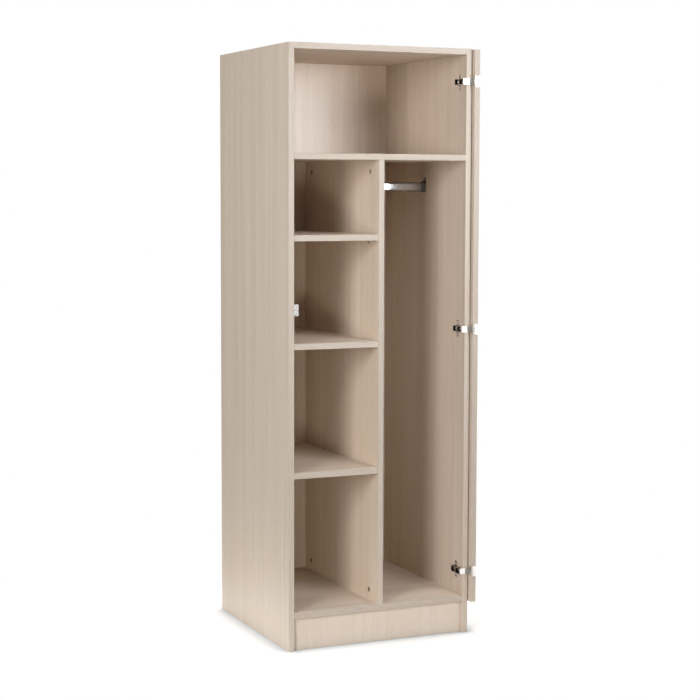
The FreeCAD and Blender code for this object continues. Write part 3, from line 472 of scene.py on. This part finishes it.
def dished_bar(mesh, matrix, rings, crown, recess):
    """A round bar of rings (height, radius), with a crowned top and a cross recess (arm, width, depth)."""
    arm, width, depth = recess
    turns = [2 * math.pi * k / SIDES for k in range(SIDES)]
    loops = []
    for height, radius in rings:
        loops.append([(radius * math.cos(turn), radius * math.sin(turn), height) for turn in turns])
    top, rim = rings[-1]
    for count in range(1, CROWN_RINGS):
        radius = rim * (1 - count / CROWN_RINGS)
        dome = top + crown * (1 - (radius / rim) ** 2)
        loop = []
        for turn in turns:
            x = radius * math.cos(turn)
            y = radius * math.sin(turn)
            cut = max(cross_arm(x, y, arm, width), cross_arm(y, x, arm, width))
            loop.append((x, y, dome - depth * cut))
        loops.append(loop)
    rows = [[mesh.verts.new(matrix @ Vector(point)) for point in loop] for loop in loops]
    first = mesh.verts.new(matrix @ Vector((0, 0, rings[0][0])))
    last = mesh.verts.new(matrix @ Vector((0, 0, top + crown - depth)))
    for k in range(SIDES):
        after = (k + 1) % SIDES
        mesh.faces.new((first, rows[0][after], rows[0][k]))
        mesh.faces.new((last, rows[-1][k], rows[-1][after]))
        for lower, upper in zip(rows, rows[1:]):
            mesh.faces.new((lower[k], lower[after], upper[after], upper[k]))
    for face in mesh.faces:
        face.smooth = True


def body_name(node):
    """The CAD body that carries a node."""
    for name, members in frame["record"]["behaviour"]["bodies"].items():
        if node in members:
            return name
    raise RuntimeError(f"no body carries {node}")


def finish_piece(name, mesh, material, node):
    """A piece in the scene that stands for a CAD node and rides on its body."""
    data = bpy.data.meshes.new(name)
    mesh.to_mesh(data)
    mesh.free()
    data.materials.append(material)
    item = bpy.data.objects.new(name, data)
    bpy.context.scene.collection.objects.link(item)
    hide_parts(node)
    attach(item, body_name(node))


class WARDROBE_OT_boards(bpy.types.Operator):
    """Face the boards with decor, upright on the walls and lying on the shelves."""

    bl_idname = "wardrobe.boards"
    bl_label = "Boards"

    def execute(self, context):
        rear = (0, 1, 0)
        upright = decor_board("melamine_ash_upright", "z")
        lying = decor_board("melamine_ash_lying", "x", bare=rear, figure=1.8)
        topmost = decor_board("melamine_ash_top", "x", bare=rear, dull=0.35, figure=1.8)
        cut_upright = decor_board("melamine_ash_upright_cut_rear", "z", bare=rear)
        plain = decor_board("melamine_ash_plinth", "z", figure=0.7)
        paint(("partition", "back_panel", "door_panel"), upright)
        paint(("plinth_board",), plain)
        paint(("side_panel_left", "side_panel_right"), cut_upright)
        paint(("bottom_panel", "fixed_shelf", *[f"shelf_{level}" for level in LEVELS]), lying)
        paint(("top_panel",), topmost)
        return {"FINISHED"}


class WARDROBE_OT_edge_bands(bpy.types.Operator):
    """Glue the plastic edging on the boards' front edges and round the door."""

    bl_idname = "wardrobe.edge_bands"
    bl_label = "Edge bands"

    def execute(self, context):
        tint = context.scene.wardrobe_board.edging
        dull = 0.25
        upright = decor_board("abs_edging_upright", "z", depth=tint, dull=dull)
        lying = decor_board("abs_edging_lying", "x", depth=tint, dull=dull)
        across = decor_board("abs_edging_door_ends", "y", depth=tint, dull=dull)
        bottom = decor_board("abs_edging_bottom", "x", depth=tint * BOTTOM_BAND, dull=dull)
        paint(("band_side_left", "band_side_right", "band_partition", "band_door_hinge_edge",
               "band_door_lock_edge"), upright)
        paint(("band_bottom",), bottom)
        paint(("band_top", "band_fixed_shelf", *[f"band_shelf_{level}" for level in LEVELS]), lying)
        paint(("band_door_top", "band_door_bottom"), across)
        return {"FINISHED"}


class WARDROBE_OT_knock_down(bpy.types.Operator):
    """Set the cams with their cross recess, the bolts and the dowels that join the boards."""

    bl_idname = "wardrobe.knock_down"
    bl_label = "Cams, bolts and dowels"

    def execute(self, context):
        metal = context.scene.wardrobe_metal
        zinc = plated_metal("zinc_die_cast", metal.cast, roughness=0.55, grit=0.8 * MM, swirl=0.1)
        mesh = bmesh.new()
        for low, high, points in islands("cam_fittings"):
            size = list(high - low)
            axis = size.index(min(size))
            radius = max(size) / 2
            # The face with the driver's recess has more points than the plain foot.
            upward = len(end_points(points, axis, high[axis])) > len(end_points(points, axis, low[axis]))
            matrix, length = foot_frame(low, high, axis, upward)
            # The face has a bevelled rim round a shallow dish.
            rings = ((0, radius), (length - 0.4 * MM, radius), (length, radius - 0.4 * MM),
                     (length, radius - 1.5 * MM), (length - 0.6 * MM, radius - 1.9 * MM))
            dished_bar(mesh, matrix, rings, CAM_CROWN, CAM_CROSS)
        finish_piece("cam_discs", mesh, zinc, "cam_fittings")
        paint(("cam_bolts",), zinc)
        paint(("dowels",), turned_beech("beech_dowel"))
        return {"FINISHED"}


class WARDROBE_OT_shelf_supports(bpy.types.Operator):
    """Plate the pins that carry the loose shelves."""

    bl_idname = "wardrobe.shelf_supports"
    bl_label = "Shelf supports"

    def execute(self, context):
        metal = context.scene.wardrobe_metal
        steel = plated_metal("nickel_plated_pin", metal.nickel, roughness=0.24, grit=1.5 * MM, swirl=0.06)
        paint([f"shelf_supports_{level}" for level in LEVELS], steel)
        return {"FINISHED"}


class WARDROBE_OT_rail(bpy.types.Operator):
    """Chrome the oval hanging rail and its sockets."""

    bl_idname = "wardrobe.rail"
    bl_label = "Hanging rail"

    def execute(self, context):
        metal = context.scene.wardrobe_metal
        chrome = plated_metal("chromed_steel_tube", metal.chrome, roughness=0.1, grit=4 * MM, swirl=0.03)
        cast = plated_metal("chromed_zinc_socket", metal.socket, roughness=0.2, grit=2 * MM, swirl=0.05)
        paint(("hanging_rail",), chrome)
        paint(("rail_socket_left", "rail_socket_right"), cast)
        return {"FINISHED"}


class WARDROBE_OT_hinges(bpy.types.Operator):
    """Plate the corner hinges that let the door fold back."""

    bl_idname = "wardrobe.hinges"
    bl_label = "Hinges"

    def execute(self, context):
        metal = context.scene.wardrobe_metal
        nickel = plated_metal("nickel_plated_hinge", metal.nickel, roughness=0.22, grit=1.2 * MM, swirl=0.05)
        for part in ("plate", "leaf", "pin"):
            paint([f"hinge_{part}_{level}" for level in LEVELS], nickel)
        cast = cast_arm("nickel_plated_casting", metal.nickel)
        paint([f"hinge_arm_{level}" for level in LEVELS], cast)
        return {"FINISHED"}


class WARDROBE_OT_screws(bpy.types.Operator):
    """Turn the screws with domed heads and cross recesses."""

    bl_idname = "wardrobe.screws"
    bl_label = "Screws"

    def execute(self, context):
        metal = context.scene.wardrobe_metal
        bright = plated_metal("zinc_plated_screw", metal.zinc, roughness=0.3, grit=0.9 * MM, swirl=0.07)
        groups = ("hinge_plate_screws", "hinge_arm_screws", "hinge_cup_screws", "rail_screws",
                  "strike_screws", "lock_cam_screw")
        for group in groups:
            mesh = bmesh.new()
            for low, high, points in islands(group):
                size = list(high - low)
                centre = (low + high) / 2
                width = sorted(size)[1]
                head = width / 2
                # A slender screw lies along its longest measure, and a flat one along its shortest.
                axis = size.index(max(size) if max(size) > SLENDER * width else min(size))
                ends = [end_radius(points, axis, corner[axis], centre) for corner in (low, high)]
                # The heads are the wider ends, and the arm's screws always face into the bay.
                upward = ends[1] >= ends[0] and group != "hinge_arm_screws"
                matrix, length = foot_frame(low, high, axis, upward)
                cap = min(SCREW_HEAD, length)
                shank = min(ends)
                foot = ((0, shank), (length - cap, shank)) if length > cap + TOUCH else ()
                # The head's flank is upright, and its shoulder rounds to the crown.
                rings = (*foot, (length - cap, head), (length - 0.9 * MM, head),
                         (length - 0.55 * MM, head * 0.93))
                dished_bar(mesh, matrix, rings, SCREW_CROWN, SCREW_CROSS)
            finish_piece(f"{group}_turned", mesh, bright, group)
        return {"FINISHED"}


class WARDROBE_OT_lock(bpy.types.Operator):
    """Plate the cam lock and its strike plate."""

    bl_idname = "wardrobe.lock"
    bl_label = "Lock"

    def execute(self, context):
        metal = context.scene.wardrobe_metal
        nickel = plated_metal("nickel_plated_lock", metal.nickel, roughness=0.2, grit=1.2 * MM, swirl=0.05)
        paint(("lock_housing", "lock_nut", "lock_plug", "lock_cam", "strike_plate"), nickel)
        return {"FINISHED"}


def hang_softbox(name, power, size, place, target, spread=180, colour=WHITE, only=None, mirrored=True):
    """A rectangular soft light that faces a point, and may be kept to a collection or out of mirrors."""
    lamp = bpy.data.lights.new(name, "AREA")
    lamp.shape = "RECTANGLE"
    lamp.size, lamp.size_y = size
    lamp.energy = power
    lamp.color = colour
    lamp.spread = math.radians(spread)
    softbox = bpy.data.objects.new(name, lamp)
    softbox.location = place
    softbox.visible_glossy = mirrored
    softbox.light_linking.receiver_collection = only
    aim = Vector(target) - Vector(place)
    softbox.rotation_euler = aim.to_track_quat("-Z", "Y").to_euler()
    bpy.context.scene.collection.objects.link(softbox)


def lay_floor(scene, colour):
    """A round floor that fades into the surround."""
    mesh = bmesh.new()
    bmesh.ops.create_circle(mesh, cap_ends=True, segments=96, radius=FLOOR_RADIUS)
    data = bpy.data.meshes.new("studio_floor")
    mesh.to_mesh(data)
    mesh.free()
    data.materials.append(studio_floor("painted_studio_floor", colour))
    floor = bpy.data.objects.new("studio_floor", data)
    scene.collection.objects.link(floor)


def hang_surround(scene, stage):
    """An even surround: white to the camera, grey in the metal's reflections, and dim as a light."""
    world = bpy.data.worlds.new("white_surround")
    world.use_nodes = True
    tree = world.node_tree
    background = tree.nodes["Background"]
    background.inputs["Color"].default_value = opaque(WHITE)
    ray = add(tree, "ShaderNodeLightPath").outputs
    dim = add(tree, "ShaderNodeMapRange",
              {"Value": ray["Is Glossy Ray"], "To Min": stage.sky, "To Max": stage.mirrored_sky})
    strength = add(tree, "ShaderNodeMapRange",
                   {"Value": ray["Is Camera Ray"], "To Min": dim.outputs["Result"], "To Max": 1.0})
    tree.links.new(strength.outputs["Result"], background.inputs["Strength"])
    scene.world = world


def hang_lights(scene, stage):
    """Soft lights: a tall one on the left, softer ones in front, and cards for the sides and the rear."""
    sun = bpy.data.lights.new("top_light", "SUN")
    sun.energy = stage.top
    sun.angle = math.radians(TOP_LIGHT_ANGLE)
    scene.collection.objects.link(bpy.data.objects.new("top_light", sun))
    hang_softbox("front_softbox", stage.key, (1.0, 1.0), (0.9, -2.68, 1.85), (0.0, 0.0, 1.6),
                 spread=72, colour=COOL)
    # Fill that reaches into the bays, and leaves the front edges to the key and side lights.
    inside = bpy.data.collections.new("inside_boards")
    for name in ("partition", "back_panel", "bottom_panel", "fixed_shelf", "top_panel",
                 *[f"shelf_{level}" for level in LEVELS]):
        inside.objects.link(frame["nodes"][name])
    hang_softbox("high_softbox", stage.fill, (1.5, 1.5), (-0.5, -3.0, 3.1), (0.0, -0.28, 0.8),
                 colour=FAINT_COOL, only=inside, mirrored=False)
    hang_softbox("low_card", stage.low_wide, (1.6, 0.5), (-1.2, -3.5, 0.28), (0.0, 0.0, 1.0),
                 colour=WARM, only=inside, mirrored=False)
    hang_softbox("low_left_card", stage.low_left, (1.0, 0.5), (-1.8, -3.5, 0.28), (0.0, 0.0, 1.0),
                 colour=WARM, only=inside, mirrored=False)
    hang_softbox("back_softbox", stage.back, (0.7, 0.5), (0.8, -2.7, 1.75), (0.0, 0.0, 1.62),
                 colour=COOL, only=inside, mirrored=False)
    hang_softbox("right_strip", stage.strip, (0.9, 1.6), (1.55, -2.75, 0.75), (0.25, -0.28, 0.75))
    hang_softbox("floor_card", stage.floor_card, (1.4, 1.0), (1.0, -1.35, 0.01), (1.0, -1.35, 1.0))
    hang_softbox("right_card", stage.rear, (1.6, 1.9), (3.0, 0.9, 1.3), (0.3, 0.0, 0.95), mirrored=False)
    hang_softbox("rear_card", stage.rear, (1.9, 1.6), (0.6, 3.4, 1.7), (0.0, 0.3, 0.9), mirrored=False)
    hang_softbox("left_card", stage.left, (1.6, 1.9), (-3.0, 0.7, 1.5), (-0.317, 0.0, 1.15),
                 colour=FAINT_WARM)
    hang_softbox("side_softbox", stage.side, (1.2, 2.0), (-3.2, -2.75, 1.8), (0.0, -0.28, 0.9))


def set_tones(scene):
    """The tones of the picture, through the camera's curve."""
    scene.view_settings.view_transform = "Standard"
    scene.view_settings.look = "None"
    scene.view_settings.use_curve_mapping = True
    tones = scene.view_settings.curve_mapping
    for level, shown in TONE_CURVE:
        tones.curves[3].points.new(level, shown)
    tones.update()


def set_camera(scene, focal_length):
    """The camera at the photograph's view."""
    heading, tilt, roll = (math.radians(angle) for angle in CAMERA_ANGLES)
    ahead = Vector((math.sin(heading), math.cos(heading), 0))
    right = Vector((math.cos(heading), -math.sin(heading), 0))
    up = Vector((0, 0, 1))
    forward = ahead * math.cos(tilt) + up * math.sin(tilt)
    upward = up * math.cos(tilt) - ahead * math.sin(tilt)
    turned_right = right * math.cos(roll) + upward * math.sin(roll)
    turned_up = upward * math.cos(roll) - right * math.sin(roll)
    lens = bpy.data.cameras.new("camera")
    lens.sensor_width = SENSOR
    lens.lens = focal_length
    lens.shift_x, lens.shift_y = (pixels / FRAME_PIXELS for pixels in FRAME_SHIFT)
    camera = bpy.data.objects.new("camera", lens)
    axes = Matrix((turned_right, turned_up, -forward)).transposed().to_4x4()
    camera.matrix_world = Matrix.Translation(CAMERA_PLACE) @ axes
    scene.collection.objects.link(camera)
    scene.camera = camera


class WARDROBE_OT_stage(bpy.types.Operator):
    """Lay the floor, hang the lights and set the camera."""

    bl_idname = "wardrobe.stage"
    bl_label = "Stage"

    def execute(self, context):
        scene = context.scene
        stage = scene.wardrobe_stage
        lay_floor(scene, stage.floor)
        hang_surround(scene, stage)
        hang_lights(scene, stage)
        set_tones(scene)
        set_camera(scene, stage.lens)
        return {"FINISHED"}


STEPS = (
    WARDROBE_OT_boards,
    WARDROBE_OT_edge_bands,
    WARDROBE_OT_knock_down,
    WARDROBE_OT_shelf_supports,
    WARDROBE_OT_rail,
    WARDROBE_OT_hinges,
    WARDROBE_OT_screws,
    WARDROBE_OT_lock,
    WARDROBE_OT_stage,
)

GROUPS = {"wardrobe_board": BoardFinish, "wardrobe_metal": MetalFinish, "wardrobe_stage": StageSettings}


class WARDROBE_PT_panel(bpy.types.Panel):
    """Settings and steps of the wardrobe."""

    bl_idname = "WARDROBE_PT_panel"
    bl_label = "Wardrobe"
    bl_space_type = "VIEW_3D"
    bl_region_type = "UI"
    bl_category = "Wardrobe"

    def draw(self, context):
        for place, group in GROUPS.items():
            box = self.layout.box()
            for name in group.__annotations__:
                box.prop(getattr(context.scene, place), name)
        for step in STEPS:
            self.layout.operator(step.bl_idname)


CLASSES = (*GROUPS.values(), *STEPS, WARDROBE_PT_panel)


def register():
    """Register the classes, and put the settings on the scene."""
    for item in CLASSES:
        bpy.utils.register_class(item)
    for name, group in GROUPS.items():
        setattr(bpy.types.Scene, name, bpy.props.PointerProperty(type=group))


def unregister():
    """Take the settings and the classes away again."""
    for name in GROUPS:
        delattr(bpy.types.Scene, name)
    for item in reversed(CLASSES):
        bpy.utils.unregister_class(item)


def main():
    """Run every step in order."""
    register()
    for step in STEPS:
        group, name = step.bl_idname.split(".")
        getattr(getattr(bpy.ops, group), name)()


if __name__ == "__main__":
    main()
